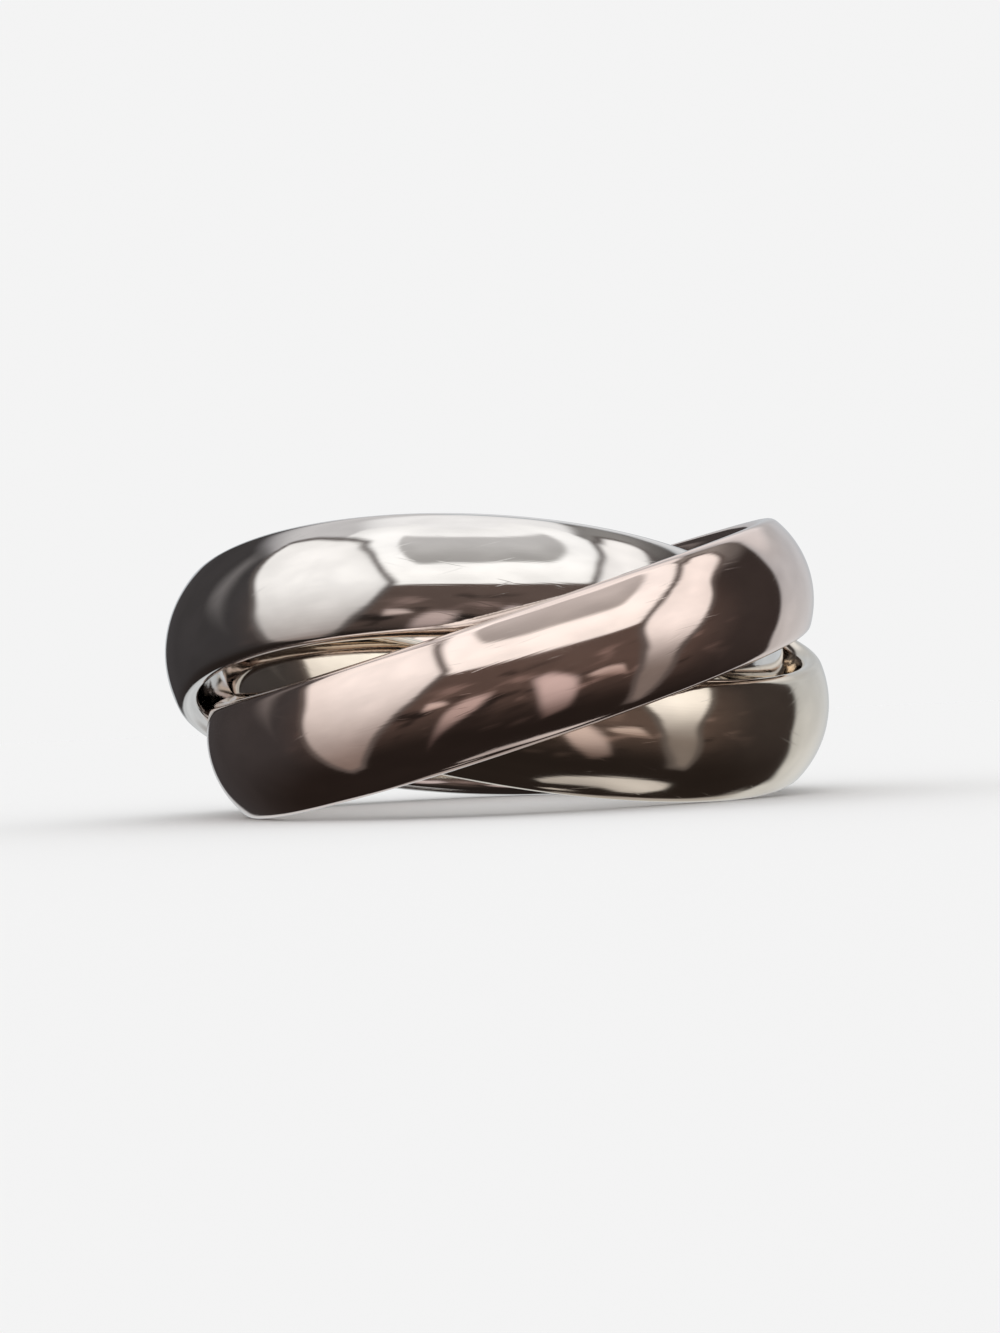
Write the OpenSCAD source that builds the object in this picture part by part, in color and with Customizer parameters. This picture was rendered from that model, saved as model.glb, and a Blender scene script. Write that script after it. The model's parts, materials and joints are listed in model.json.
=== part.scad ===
// Rolling ring: three gold bands that pass through one another, so that each can roll over the other two.
// Each band is a plain turned ring. The three lie nested, a third of a turn apart around the finger's axis,
// and each is tilted and set off the axis so that it clears the other two everywhere.
// Origin: on the finger's axis, in the surface that the ring lies on. Front is -Y, up is +Z.

/* [Band] */
// Inner diameter of one band, at the crest of its inner face
band_bore = 20; // [19:0.5:24]
// Width of one band, along its own axis
band_w = 4.4; // [3.6:0.1:4.4]
// How far the outer dome stands out from the centres of the rounded edges
outer_dome = 0.95; // [0.8:0.05:0.95]
// How far the inner dome stands in from the centres of the rounded edges
inner_dome = 0.7; // [0.6:0.05:0.7]
// Radius of the rounded edges
edge_r = 0.45; // [0.3:0.05:0.5]

/* [Nest] */
// Distance from the finger's axis to the centre of each band
nest_offset = 1.1; // [1.1:0.05:1.4]
// How far each band climbs and falls about its centre, at the middle of its section
nest_rise = 3.05; // [2.85:0.05:3.2]
// Turn of the whole nest about the finger's axis, in degrees
nest_turn = 14; // [-60:1:60]

/* [Colours] */
// White gold
white_gold = [0.80, 0.79, 0.78]; // [0:0.01:1]
// Rose gold
rose_gold = [0.86, 0.66, 0.59]; // [0:0.01:1]
// Yellow gold
yellow_gold = [0.89, 0.78, 0.56]; // [0:0.01:1]

/* [Hidden] */
$fn = 180;

// Direction in which each band reaches furthest out, in degrees from +X
rose_phase = nest_turn - 90;
yellow_phase = rose_phase + 120;
white_phase = rose_phase + 240;

// Radius at which the rounded edges have their centres, and their height above the band's middle plane
mid_r = band_bore / 2 + inner_dome;
edge_z = band_w / 2 - edge_r;

// Radius of a dome arc of height h that runs into both rounded edges without a corner
function dome_radius(h) = (h * h + edge_z * edge_z - edge_r * edge_r) / (2 * (h - edge_r));

// Place where a dome of height h meets the rounded edge, outwards from the edge's centre
function dome_end(h) = let (r = dome_radius(h)) [h - r, 0] + r * [r - h, edge_z] / (r - edge_r);

// Tilt of each band, and the height of the three centres above the surface that the ring lies on
tilt = asin(nest_rise / mid_r);
centre_z = nest_rise + edge_z * cos(tilt) + edge_r;

// Half of a section: a dome of height h towards +X, cut off where it meets the rounded edges
module dome(h) {
    r = dome_radius(h);
    end = dome_end(h);
    intersection() {
        translate([h - r, 0]) circle(r = r);
        polygon([[0, -edge_z], [end.x, -end.y], [h + 1, -end.y], [h + 1, end.y], end, [0, edge_z]]);
    }
}

// Section of a band, with the centres of its edges on the Y axis and the outer face towards +X
module section() {
    dome(outer_dome);
    mirror([1, 0]) dome(inner_dome);
    for (side = [-1, 1]) translate([0, side * edge_z]) circle(r = edge_r);
}

// One band about its own axis, with its centre at the origin
module band() {
    rotate_extrude() translate([mid_r, 0]) section();
}

// Sets a band in the nest, furthest out in the direction of its phase
module nested(phase) {
    translate([0, 0, centre_z]) rotate([0, 0, phase]) translate([nest_offset, 0, 0]) rotate([tilt, 0, 0]) children();
}

module white_band() {
    color(white_gold) nested(white_phase) band();
}

module rose_band() {
    color(rose_gold) nested(rose_phase) band();
}

module yellow_band() {
    color(yellow_gold) nested(yellow_phase) band();
}

white_band();
rose_band();
yellow_band();
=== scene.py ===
"""Rolling ring: three polished gold bands that pass through one another, lying on a pale floor.
Metres, +Z up, front is -Y. Each band is a fine turned mesh in the place of its plain solid."""
import json
import math
from collections import namedtuple

import bpy
from mathutils import Matrix, Vector


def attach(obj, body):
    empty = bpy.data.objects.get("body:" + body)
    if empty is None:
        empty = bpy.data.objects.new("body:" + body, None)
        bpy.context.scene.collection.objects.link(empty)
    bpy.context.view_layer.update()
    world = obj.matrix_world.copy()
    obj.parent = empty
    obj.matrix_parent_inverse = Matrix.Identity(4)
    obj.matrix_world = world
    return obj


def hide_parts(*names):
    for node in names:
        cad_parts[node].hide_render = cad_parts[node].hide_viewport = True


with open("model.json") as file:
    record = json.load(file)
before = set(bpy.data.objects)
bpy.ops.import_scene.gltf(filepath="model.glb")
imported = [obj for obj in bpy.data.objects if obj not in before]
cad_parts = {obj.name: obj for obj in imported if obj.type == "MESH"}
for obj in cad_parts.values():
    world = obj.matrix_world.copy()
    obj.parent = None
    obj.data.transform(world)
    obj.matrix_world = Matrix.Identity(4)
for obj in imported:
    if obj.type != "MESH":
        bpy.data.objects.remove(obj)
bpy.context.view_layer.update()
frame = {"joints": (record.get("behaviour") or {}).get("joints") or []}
scene = bpy.context.scene

# Sizes of a band's section, as in the solids
MM = 0.001
BAND_BORE = 20 * MM
BAND_WIDTH = 4.4 * MM
OUTER_DOME = 0.95 * MM
INNER_DOME = 0.7 * MM
EDGE_RADIUS = 0.45 * MM
MIDDLE_RADIUS = BAND_BORE / 2 + INNER_DOME
EDGE_HEIGHT = BAND_WIDTH / 2 - EDGE_RADIUS

# Turn about the upright axis, in degrees, that takes the rose band's place to the white band's
WHITE_FROM_ROSE = -120

# Fineness of the turned meshes
STEPS_ROUND = 512
STEPS_OUTER = 30
STEPS_INNER = 18
STEPS_EDGE = 10

BAND_MAP = "turned"


def dome_radius(height):
    """Radius of a dome arc that runs into both rounded edges without a corner."""
    return (height ** 2 + EDGE_HEIGHT ** 2 - EDGE_RADIUS ** 2) / (2 * (height - EDGE_RADIUS))


def arc(centre, radius, start, end, steps):
    """Points of an arc but for its last one. Angles run from the outward direction to the band's top."""
    angles = (start + (end - start) * i / steps for i in range(steps))
    return [(centre[0] + radius * math.cos(a), centre[1] + radius * math.sin(a)) for a in angles]


def section():
    """Closed outline of a band's section from the middle of its inner face: (outwards, along the axis)."""
    outer = dome_radius(OUTER_DOME)
    inner = dome_radius(INNER_DOME)
    outer_centre = (OUTER_DOME - outer, 0)
    inner_centre = (inner - INNER_DOME, 0)
    outer_half = math.atan2(EDGE_HEIGHT, outer - OUTER_DOME)
    inner_half = math.atan2(EDGE_HEIGHT, inner - INNER_DOME)
    lower_edge = (0, -EDGE_HEIGHT)
    upper_edge = (0, EDGE_HEIGHT)
    half_turn = math.pi
    points = arc(inner_centre, inner, half_turn, half_turn + inner_half, STEPS_INNER)
    points += arc(lower_edge, EDGE_RADIUS, half_turn + inner_half, 2 * half_turn - outer_half, STEPS_EDGE)
    points += arc(outer_centre, outer, -outer_half, outer_half, STEPS_OUTER)
    points += arc(upper_edge, EDGE_RADIUS, outer_half, half_turn - inner_half, STEPS_EDGE)
    points += arc(inner_centre, inner, half_turn - inner_half, half_turn, STEPS_INNER)
    return points


def band_places():
    """Centre and axis of each band: the joints give two, and a turn of the rose band's gives the white's."""
    joints = {joint["child"]: joint for joint in frame["joints"]}
    places = {}
    for name in ("rose", "yellow"):
        places[name] = (Vector(joints[name]["pos_m"]), Vector(joints[name]["axis"]))
    turn = Matrix.Rotation(math.radians(WHITE_FROM_ROSE), 3, "Z")
    places["white"] = tuple(turn @ vector for vector in places["rose"])
    return places


def band_mesh(name, centre, axis):
    """A band turned about its own axis, with a map that runs once round it and once round its section."""
    outline = section()
    lengths = [0.0]
    for a, b in zip(outline, outline[1:] + outline[:1]):
        lengths.append(lengths[-1] + math.dist(a, b))
    perimeter = lengths[-1]
    across = axis.cross(Vector((0, 0, 1))).normalized()
    along = axis.cross(across)
    rows = len(outline)
    vertices = []
    for i in range(STEPS_ROUND):
        turn = 2 * math.pi * i / STEPS_ROUND
        outwards = math.cos(turn) * across + math.sin(turn) * along
        vertices += [centre + (MIDDLE_RADIUS + out) * outwards + up * axis for out, up in outline]
    faces = []
    corners = []
    for i in range(STEPS_ROUND):
        here = i * rows
        after = (i + 1) % STEPS_ROUND * rows
        left = i / STEPS_ROUND
        right = (i + 1) / STEPS_ROUND
        for j in range(rows):
            k = (j + 1) % rows
            faces.append((here + j, after + j, after + k, here + k))
            low = lengths[j] / perimeter
            high = lengths[j + 1] / perimeter
            corners += [(left, low), (right, low), (right, high), (left, high)]
    mesh = bpy.data.meshes.new(name)
    mesh.from_pydata(vertices, [], faces)
    uv = mesh.uv_layers.new(name=BAND_MAP)
    uv.data.foreach_set("uv", [value for corner in corners for value in corner])
    mesh.shade_smooth()
    mesh.update()
    piece = bpy.data.objects.new(name, mesh)
    scene.collection.objects.link(piece)
    return piece, perimeter


class Nodes:
    """Short calls for the nodes of one material or world."""

    def __init__(self, tree):
        self.tree = tree
        tree.nodes.clear()

    def add(self, kind, inputs=(), **settings):
        node = self.tree.nodes.new(kind)
        for key, value in settings.items():
            setattr(node, key, value)
        for key, value in dict(inputs).items():
            self.put(node.inputs[key], value)
        return node

    def put(self, socket, value):
        if isinstance(value, bpy.types.NodeSocket):
            self.tree.links.new(value, socket)
        else:
            socket.default_value = value

    def math(self, operation, *values):
        return self.add("ShaderNodeMath", enumerate(values), operation=operation).outputs[0]

    def ramp(self, value, low, high, to_low=0.0, to_high=1.0):
        """A smooth step from low to high, which may also be the higher and the lower of the two."""
        inputs = {"Value": value, "From Min": low, "From Max": high, "To Min": to_low, "To Max": to_high}
        return self.add("ShaderNodeMapRange", inputs, interpolation_type="SMOOTHSTEP").outputs[0]

    def mix(self, factor, first, second):
        node = self.add("ShaderNodeMix", data_type="RGBA")
        self.put(node.inputs["Factor"], factor)
        colours = [socket for socket in node.inputs if socket.type == "RGBA"]
        self.put(colours[0], first)
        self.put(colours[1], second)
        return next(socket for socket in node.outputs if socket.type == "RGBA")

    def noise(self, vector, scale, detail=2.0, roughness=0.5):
        inputs = {"Vector": vector, "Scale": scale, "Detail": detail, "Roughness": roughness}
        return self.add("ShaderNodeTexNoise", inputs).outputs[0]


def rgba(colour):
    return (*colour, 1.0)


# Finish of the polished gold: what the polishing left, and what wear added. Waves, lengths and widths are
# in millimetres on the surface, scales are per metre, and a step gives the values of the noise between
# which a mark comes up.
POLISH_WAVE = 2.6
POLISH_DEPTH = 0.03 * MM
HAIRLINE_LENGTH = 2.4
HAIRLINE_WIDTH = 0.055
HAIRLINE_DEPTH = 0.0006 * MM
SCRATCH_LENGTH = 1.6
SCRATCH_WIDTH = 0.055
SCRATCH_SLANTS = (7.0, -11.0)
SCRATCH_STEP = (0.79, 0.87)
SCRATCH_DEPTH = 0.0007 * MM
TONE_SCALE = 150.0
TONE_STEP = (0.3, 0.7)
SMUDGE_SCALE = 260.0
SMUDGE_STEP = (0.42, 0.68)
WEAR_SCALE = 900.0
WEAR_STEP = (0.45, 0.62)

# Middle of the outer face on the band's map, the rounded edges' distance from it, and how far they wear
FACE_MIDDLE = 0.5
EDGE_PLACE = 0.225
EDGE_REACH = 0.05

# Roughness of the clean polish, and what each mark adds to it
MIRROR_ROUGHNESS = 0.055
SMUDGE_ROUGHNESS = 0.03
HAIRLINE_ROUGHNESS = 0.02
SCRATCH_ROUGHNESS = 0.07
WEAR_ROUGHNESS = 0.06

# Two close tones of each gold, which vary slowly over it
GOLDS = {
    "white": ((0.88, 0.855, 0.83), (0.845, 0.82, 0.795)),
    "rose": ((0.91, 0.775, 0.715), (0.885, 0.74, 0.675)),
    "yellow": ((0.94, 0.85, 0.74), (0.92, 0.825, 0.70)),
}


def band_map(n):
    """The two values of the band's map: once round the band, and once round its section."""
    uv = n.add("ShaderNodeUVMap", uv_map=BAND_MAP).outputs[0]
    split = n.add("ShaderNodeSeparateXYZ", {0: uv})
    return split.outputs[0], split.outputs[1]


def turned_vector(n, perimeter, length, width, skew=0.0):
    """Place on the band, scaled so that features are about so long round it and so wide across it."""
    around, section_place = band_map(n)
    turn = n.math("MULTIPLY", around, 2 * math.pi)
    radius = MIDDLE_RADIUS / MM / length
    x = n.math("MULTIPLY", n.math("COSINE", turn), radius)
    y = n.math("MULTIPLY", n.math("SINE", turn), radius)
    across = n.math("MULTIPLY", section_place, perimeter / MM / width)
    if skew:
        across = n.math("ADD", across, n.math("MULTIPLY", x, skew))
    return n.add("ShaderNodeCombineXYZ", {0: x, 1: y, 2: across}).outputs[0]


def scratch_marks(n, perimeter):
    """Stray scratches, one set on each slant."""
    marks = 0.0
    for slant in SCRATCH_SLANTS:
        place = turned_vector(n, perimeter, SCRATCH_LENGTH, SCRATCH_WIDTH, slant)
        lines = n.noise(place, 1.0, detail=0.0)
        marks = n.math("MAXIMUM", marks, n.ramp(lines, *SCRATCH_STEP))
    return marks


def edge_wear(n, place):
    """Wear in spots along the two rounded edges."""
    section_place = band_map(n)[1]
    from_middle = n.math("ABSOLUTE", n.math("SUBTRACT", section_place, FACE_MIDDLE))
    from_edge = n.math("ABSOLUTE", n.math("SUBTRACT", from_middle, EDGE_PLACE))
    spots = n.ramp(n.noise(place, WEAR_SCALE), *WEAR_STEP)
    return n.math("MULTIPLY", n.ramp(from_edge, EDGE_REACH, 0.0), spots)


def gold(name, base, deep, perimeter):
    """Mirror-polished gold: a soft wave and hairlines round the band left by the polishing wheel, stray
    scratches on two slants, faint smudges in the gloss and edges that are a little more worn."""
    material = bpy.data.materials.new(name)
    material.use_nodes = True
    n = Nodes(material.node_tree)
    place = n.add("ShaderNodeTexCoord").outputs["Object"]

    wave = n.noise(place, 1 / (POLISH_WAVE * MM), detail=1.0)
    tone = n.ramp(n.noise(place, TONE_SCALE), *TONE_STEP)
    smudges = n.ramp(n.noise(place, SMUDGE_SCALE, detail=3.0), *SMUDGE_STEP)
    hairlines = n.noise(turned_vector(n, perimeter, HAIRLINE_LENGTH, HAIRLINE_WIDTH), 1.0, detail=1.0)
    scratches = scratch_marks(n, perimeter)
    wear = edge_wear(n, place)

    roughness = MIRROR_ROUGHNESS
    for amount, mark in (
        (SMUDGE_ROUGHNESS, smudges),
        (HAIRLINE_ROUGHNESS, hairlines),
        (SCRATCH_ROUGHNESS, scratches),
        (WEAR_ROUGHNESS, wear),
    ):
        roughness = n.math("ADD", roughness, n.math("MULTIPLY", mark, amount))

    bump = n.add("ShaderNodeBump", {"Height": wave, "Distance": POLISH_DEPTH}).outputs[0]
    raised = {"Height": hairlines, "Distance": HAIRLINE_DEPTH, "Normal": bump}
    bump = n.add("ShaderNodeBump", raised).outputs[0]
    cut = {"Height": scratches, "Distance": SCRATCH_DEPTH, "Normal": bump}
    bump = n.add("ShaderNodeBump", cut, invert=True).outputs[0]
    shader = n.add("ShaderNodeBsdfPrincipled", {
        "Base Color": n.mix(tone, rgba(base), rgba(deep)),
        "Metallic": 1.0,
        "Roughness": roughness,
        "Normal": bump,
    })
    n.add("ShaderNodeOutputMaterial", {"Surface": shader.outputs[0]})
    return material


def bands():
    """The three bands, each in the place of its solid and riding on its body."""
    for name, (centre, axis) in band_places().items():
        band, perimeter = band_mesh(name + "_band_polished", centre, axis.normalized())
        band.data.materials.append(gold(name + "_gold", *GOLDS[name], perimeter))
        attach(band, name)
        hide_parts(name + "_band")


# Floor: a wide pale disc, which shows to the camera and catches the ring's shadow. The backdrop beyond it
# has the tone of the lit floor.
FLOOR_RADIUS = 3.0
FLOOR_STEPS = 96
FLOOR_TONE = 0.86
ROOM_LIGHT = 1.05
BACKDROP = (FLOOR_TONE * ROOM_LIGHT,) * 3


def pale_floor():
    """The floor, which the bands don't mirror."""
    mesh = bpy.data.meshes.new("pale_floor")
    angles = [2 * math.pi * i / FLOOR_STEPS for i in range(FLOOR_STEPS)]
    rim = [(FLOOR_RADIUS * math.cos(a), FLOOR_RADIUS * math.sin(a), 0) for a in angles]
    mesh.from_pydata(rim, [], [tuple(range(FLOOR_STEPS))])
    floor = bpy.data.objects.new("pale_floor", mesh)
    scene.collection.objects.link(floor)
    material = bpy.data.materials.new("pale_floor")
    material.use_nodes = True
    n = Nodes(material.node_tree)
    shader = n.add("ShaderNodeBsdfDiffuse", {"Color": rgba((FLOOR_TONE,) * 3)})
    n.add("ShaderNodeOutputMaterial", {"Surface": shader.outputs[0]})
    mesh.materials.append(material)
    floor.visible_glossy = False


# What the polished bands mirror. Directions are in degrees: azimuth runs to the right from the front,
# elevation upwards. A panel has one or more convex outlines with clockwise corners, and a softness of its
# edge. Its colour is foot at the elevation low and top at the elevation high, and rim is the width of a
# dark line round it. Later panels cover earlier ones.
Panel = namedtuple("Panel", "outlines soft low foot high top rim", defaults=[0])

# Azimuth that no direction reaches, for a panel that runs all round
ALL_ROUND = 400

PANELS = [
    # backdrop behind, with its foot
    Panel([[(121, -12), (121, 28), (146, 72), (198, 72), (198, -30), (150, -29), (134, -26)],
           [(140, -46), (138, -31), (150, -22), (198, -22), (198, -48)]],
          soft=2, low=-20, foot=(0.64, 0.66, 0.67), high=20, top=(0.53, 0.56, 0.59)),
    # brighter upper part of the backdrop
    Panel([[(126, 26), (131, 46), (150, 52), (198, 50), (198, 22), (134, 22)]],
          soft=5, low=26, foot=(0.56, 0.58, 0.60), high=34, top=(0.80, 0.81, 0.83)),
    # ground below the backdrop
    Panel([[(137, -72), (137, -40), (184, -38), (184, -68)]],
          soft=5, low=-66, foot=(0.38, 0.355, 0.34), high=-38, top=(0.46, 0.45, 0.44)),
    # ceiling
    Panel([[(-ALL_ROUND, 63), (-ALL_ROUND, 140), (ALL_ROUND, 140), (ALL_ROUND, 63)]],
          soft=2.5, low=63, foot=(0.97, 0.97, 0.98), high=90, top=(0.97, 0.97, 0.98)),
    # pale wall at the upper left
    Panel([[(-176, 38), (-176, 66), (-84, 68), (-84, 42)]],
          soft=4, low=38, foot=(0.34, 0.33, 0.34), high=50, top=(0.66, 0.65, 0.66)),
    # dim wall at the upper right
    Panel([[(84, 42), (84, 60), (112, 64), (140, 60), (126, 39), (106, 39)]],
          soft=4, low=42, foot=(0.16, 0.15, 0.145), high=54, top=(0.29, 0.28, 0.27)),
    # window in front
    Panel([[(-33, 15.5), (-96, 68), (-96, 80), (112, 80), (92, 60), (46, 21), (4, 15.5)]],
          soft=1, low=20, foot=(1.16, 1.15, 1.13), high=60, top=(1.12, 1.12, 1.12)),
    # grey pane of the window
    Panel([[(-21, 37), (-50, 69), (76, 69), (40, 41)]],
          soft=1.8, low=40, foot=(0.46, 0.45, 0.44), high=68, top=(0.64, 0.63, 0.63)),
    # left soft box, with its corner at the upper left
    Panel([[(-78, -48), (-86, 30), (-87, 50), (-80, 57), (-66, 57), (-50, 48.5), (-38, 34), (-30, 18),
            (-36, 2), (-45, -14), (-60, -38), (-70, -48)],
           [(-83, 13), (-110, 44), (-112, 48), (-106, 53), (-94, 57), (-78, 58.5), (-66, 57), (-60, 40),
            (-70, 18)]],
          soft=1.6, low=-46, foot=(0.25, 0.20, 0.18), high=30, top=(1.07, 1.06, 1.05), rim=3),
    # right soft box, with its corner at the upper right and its narrow foot
    Panel([[(57, -14), (51.5, 0), (48, 15), (49.5, 22), (61, 38), (80, 50), (88, 53), (89.5, 46), (70.5, 2),
            (64, -10)],
           [(72, 40), (80, 49), (88, 53.5), (105, 56), (110, 52), (107, 46), (86, 37)],
           [(69, -44), (58, -28), (55, -8), (64, -8), (75, -44)]],
          soft=1.6, low=-24, foot=(0.22, 0.19, 0.175), high=20, top=(1.12, 1.10, 1.09), rim=3),
    # faint wall at the left
    Panel([[(-110, -12), (-115, 8), (-121, 20), (-138, 36), (-112, 38), (-108, 20), (-104, 8),
            (-100, -12)]],
          soft=6, low=-12, foot=(0.13, 0.12, 0.12), high=20, top=(0.18, 0.17, 0.17)),
    # small light things on the table, from left to right
    Panel([[(-33, -15), (-31, -8), (-24, -9), (-22, -13)]],
          soft=1.5, low=-14, foot=(0.58, 0.46, 0.42), high=-9, top=(0.70, 0.57, 0.53)),
    Panel([[(-31, -48), (-22, -19), (-15, -12), (-7, -12), (-10, -22)]],
          soft=2.5, low=-46, foot=(0.12, 0.085, 0.08), high=-16, top=(0.56, 0.44, 0.41)),
    Panel([[(12, -18), (9, -8), (14, -5), (26, -14), (34, -42), (26, -47), (18, -36)]],
          soft=2.5, low=-47, foot=(0.16, 0.115, 0.105), high=-17, top=(0.70, 0.57, 0.55)),
    Panel([[(30, -15), (34, -12), (44, -12), (49, -21), (36, -19)]],
          soft=1.5, low=-20, foot=(0.36, 0.27, 0.24), high=-13, top=(0.64, 0.52, 0.48)),
    # strip of light low at the right
    Panel([[(-20, -78), (88, -58.5), (95, -59), (104, -63), (106, -69), (96, -75), (20, -81.5),
            (-14, -81)]],
          soft=1.6, low=-78, foot=(0.50, 0.48, 0.47), high=-66, top=(0.66, 0.64, 0.63)),
    # light part of the table behind, almost straight below
    Panel([[(100, -140), (100, -85), (240, -85), (240, -140)]],
          soft=1.5, low=-90, foot=(0.55, 0.52, 0.50), high=-80, top=(0.55, 0.52, 0.50)),
]

# Tone of the dark line round a panel
RIM_DARK = (0.110, 0.095, 0.090)

# Rounding of a panel's corners and of the joins between its outlines, in degrees
CORNER_ROUNDING = 3.5
JOIN_ROUNDING = 9

# Depth of a panel's dimmer edge in degrees, and a panel's light at its edge and inside
EDGE_DEPTH = 14
EDGE_LIGHT = 0.93
INNER_LIGHT = 1.03

# Dark low part of the room: its tones, and the directions between which one goes over into the next
LEFT_DARK = (0.049, 0.045, 0.046)
RIGHT_DARK = (0.042, 0.034, 0.032)
FRONT_DARK = (0.110, 0.078, 0.067)
DEEP_DARK = (0.020, 0.015, 0.013)
TABLE_LIGHT = (0.26, 0.185, 0.165)
LEFT_TO_RIGHT = (-20, 20)
SIDE_TO_FRONT = (100, 60)
FRONT_TO_DEEP = (-6, -46)

# Mottling of the table in front: the size of its spots in degrees and their rise for each degree to the
# right, the roughness of its noise, how it fades out at its foot and top, and the values of the noise
# between which its lights and its darks come up
MOTTLE_WIDTH = 26
MOTTLE_HEIGHT = 13
MOTTLE_RISE = 0.3
MOTTLE_ROUGHNESS = 0.45
MOTTLE_FOOT = (-52, -22)
MOTTLE_TOP = (10, 0)
MOTTLE_LIGHTS = (0.56, 0.72)
MOTTLE_DARKS = (0.48, 0.34)

# Slight unevenness of all the light that the bands mirror
UNEVEN_SCALE = 3.0
UNEVEN_STEP = (0.3, 0.7)
UNEVEN_LIGHT = (0.90, 1.04)


def beyond_outline(n, side, elevation, corners):
    """Degrees by which a direction lies outside a convex outline."""
    beyond = None
    for (az, el), (next_az, next_el) in zip(corners, corners[1:] + corners[:1]):
        length = math.dist((az, el), (next_az, next_el))
        out_az = (el - next_el) / length
        out_el = (next_az - az) / length
        up = n.math("MULTIPLY_ADD", elevation, out_el, -out_el * el - out_az * az)
        past = n.math("MULTIPLY_ADD", side, out_az, up)
        beyond = past if beyond is None else n.math("SMOOTH_MAX", beyond, past, CORNER_ROUNDING)
    return beyond


def beyond_panel(n, azimuth, elevation, outlines):
    """Degrees by which a direction lies outside all of a panel's outlines."""
    turns = [az for corners in outlines for az, el in corners]
    middle = sum(turns) / len(turns)
    side = n.math("WRAP", n.math("SUBTRACT", azimuth, middle), 180, -180)
    beyond = None
    for corners in outlines:
        past = beyond_outline(n, side, elevation, [(az - middle, el) for az, el in corners])
        beyond = past if beyond is None else n.math("SMOOTH_MIN", beyond, past, JOIN_ROUNDING)
    return beyond


def lay_panel(n, azimuth, elevation, panel, under):
    """Lays one panel over the colour so far: shaded from foot to top, and a little dimmer at its edge."""
    beyond = beyond_panel(n, azimuth, elevation, panel.outlines)
    if panel.rim:
        dark = n.ramp(beyond, panel.rim + panel.soft, panel.rim - panel.soft)
        under = n.mix(dark, under, rgba(RIM_DARK))
    shade = n.mix(n.ramp(elevation, panel.low, panel.high), rgba(panel.foot), rgba(panel.top))
    light = n.ramp(beyond, 0, -EDGE_DEPTH, EDGE_LIGHT, INNER_LIGHT)
    lit = n.add("ShaderNodeVectorMath", {0: shade, "Scale": light}, operation="SCALE").outputs[0]
    return n.mix(n.ramp(beyond, panel.soft, -panel.soft), under, lit)


def table_zone(n, azimuth, elevation):
    """Dark low part of the room, with a mottling of things on the table in front."""
    ahead = n.ramp(n.math("ABSOLUTE", azimuth), *SIDE_TO_FRONT)
    sides = n.mix(n.ramp(azimuth, *LEFT_TO_RIGHT), rgba(LEFT_DARK), rgba(RIGHT_DARK))
    dark = n.mix(ahead, sides, rgba(FRONT_DARK))
    dark = n.mix(n.ramp(elevation, *FRONT_TO_DEEP), dark, rgba(DEEP_DARK))
    slanted = n.math("MULTIPLY_ADD", azimuth, -MOTTLE_RISE, elevation)
    place = n.add("ShaderNodeCombineXYZ", {
        0: n.math("DIVIDE", azimuth, MOTTLE_WIDTH),
        1: n.math("DIVIDE", slanted, MOTTLE_HEIGHT),
    }).outputs[0]
    spots = n.noise(place, 1.0, roughness=MOTTLE_ROUGHNESS)
    between = n.math("MULTIPLY", n.ramp(elevation, *MOTTLE_FOOT), n.ramp(elevation, *MOTTLE_TOP))
    near = n.math("MULTIPLY", ahead, between)
    light = n.math("MULTIPLY", n.ramp(spots, *MOTTLE_LIGHTS), near)
    deep = n.math("MULTIPLY", n.ramp(spots, *MOTTLE_DARKS), near)
    return n.mix(deep, n.mix(light, dark, rgba(TABLE_LIGHT)), rgba(DEEP_DARK))


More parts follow.
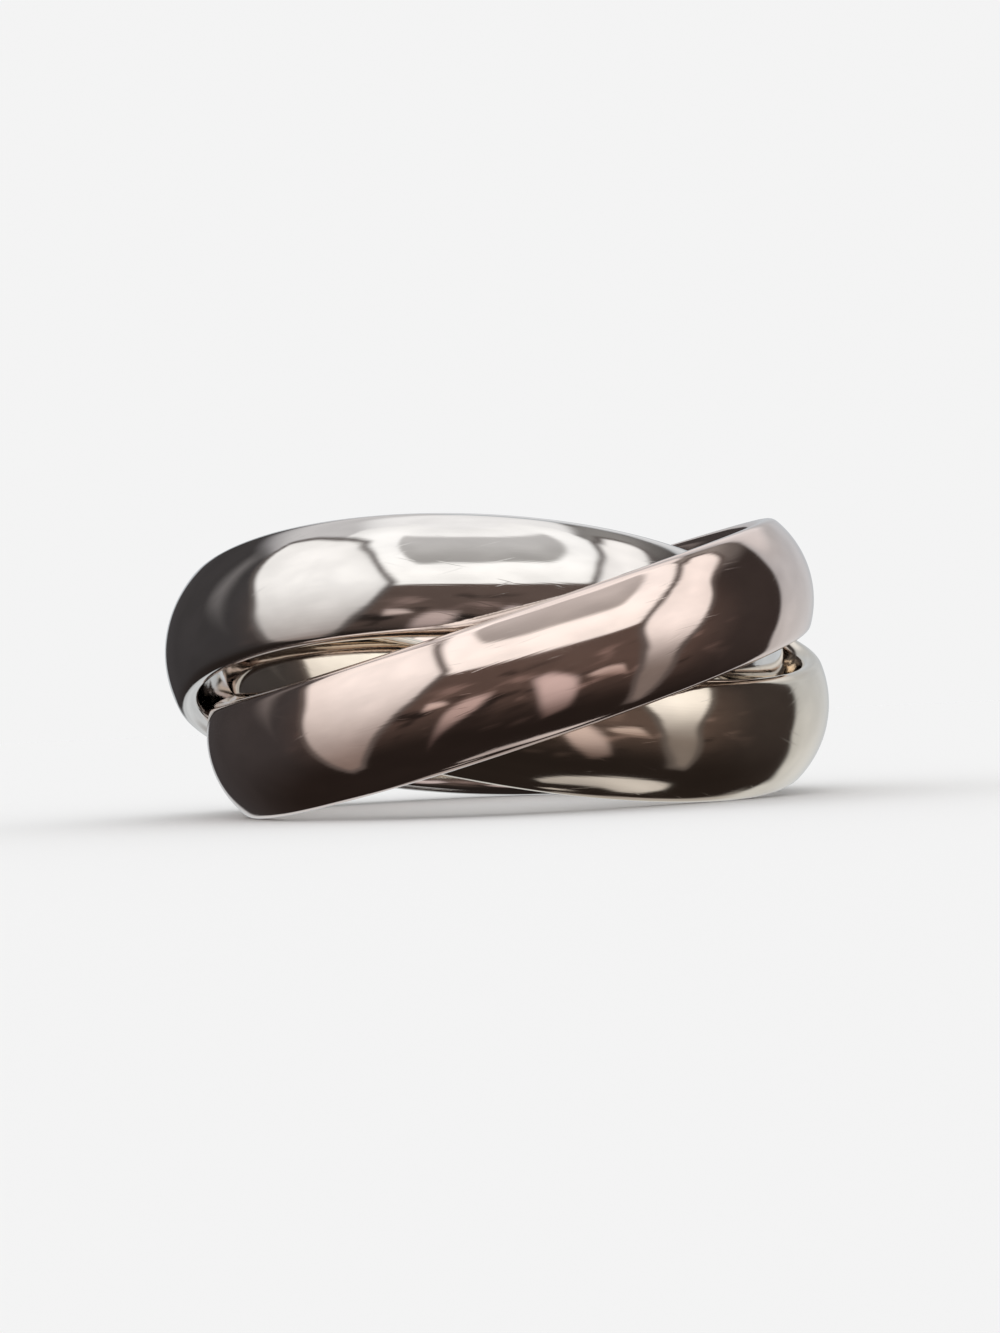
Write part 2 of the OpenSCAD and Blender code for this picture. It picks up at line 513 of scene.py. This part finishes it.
def studio():
    """Panels and a dark table for reflections, an even backdrop for the camera, even light for the rest."""
    world = bpy.data.worlds.new("studio")
    scene.world = world
    world.use_nodes = True
    n = Nodes(world.node_tree)
    way = n.add("ShaderNodeTexCoord").outputs["Generated"]
    split = n.add("ShaderNodeSeparateXYZ", {0: way})
    to_degrees = math.degrees(1)
    azimuth = n.math("ARCTAN2", split.outputs[0], n.math("MULTIPLY", split.outputs[1], -1))
    azimuth = n.math("MULTIPLY", azimuth, to_degrees)
    elevation = n.math("MULTIPLY", n.math("ARCSINE", split.outputs[2]), to_degrees)
    colour = table_zone(n, azimuth, elevation)
    for panel in PANELS:
        colour = lay_panel(n, azimuth, elevation, panel, colour)
    uneven = n.ramp(n.noise(way, UNEVEN_SCALE, detail=3.0), *UNEVEN_STEP, *UNEVEN_LIGHT)
    mirrored = n.add("ShaderNodeBackground", {"Color": colour, "Strength": uneven}).outputs[0]
    room = n.add("ShaderNodeBackground", {"Color": rgba((1, 1, 1)), "Strength": ROOM_LIGHT}).outputs[0]
    backdrop = n.add("ShaderNodeBackground", {"Color": rgba(BACKDROP), "Strength": 1.0}).outputs[0]
    path = n.add("ShaderNodeLightPath")
    both = n.add("ShaderNodeMixShader", {0: path.outputs["Is Glossy Ray"], 1: room, 2: mirrored}).outputs[0]
    seen = n.add("ShaderNodeMixShader", {0: path.outputs["Is Camera Ray"], 1: both, 2: backdrop}).outputs[0]
    n.add("ShaderNodeOutputWorld", {"Surface": seen})


# Camera: in front, just over the floor, and rolled a little so that the ring's left end is lower
CAMERA_DISTANCE = 95 * MM
CAMERA_HEIGHT = 3.2 * MM
CAMERA_AIM = Vector((-0.1 * MM, 0, 5.2 * MM))
CAMERA_ROLL = math.radians(-2.5)
CAMERA_LENS = 68
CAMERA_NEAR = 1 * MM
CAMERA_FAR = 10.0


def camera():
    """The camera, aimed at about the middle of the ring."""
    data = bpy.data.cameras.new("camera")
    data.lens = CAMERA_LENS
    data.clip_start = CAMERA_NEAR
    data.clip_end = CAMERA_FAR
    eye = bpy.data.objects.new("camera", data)
    scene.collection.objects.link(eye)
    eye.location = (0, -CAMERA_DISTANCE, CAMERA_HEIGHT)
    look = (CAMERA_AIM - eye.location).to_track_quat("-Z", "Y").to_matrix()
    eye.rotation_euler = (look @ Matrix.Rotation(CAMERA_ROLL, 3, "Z")).to_euler()
    scene.camera = eye


bands()
pale_floor()
studio()
camera()
scene.view_settings.view_transform = "Standard"
scene.cycles.use_denoising = True
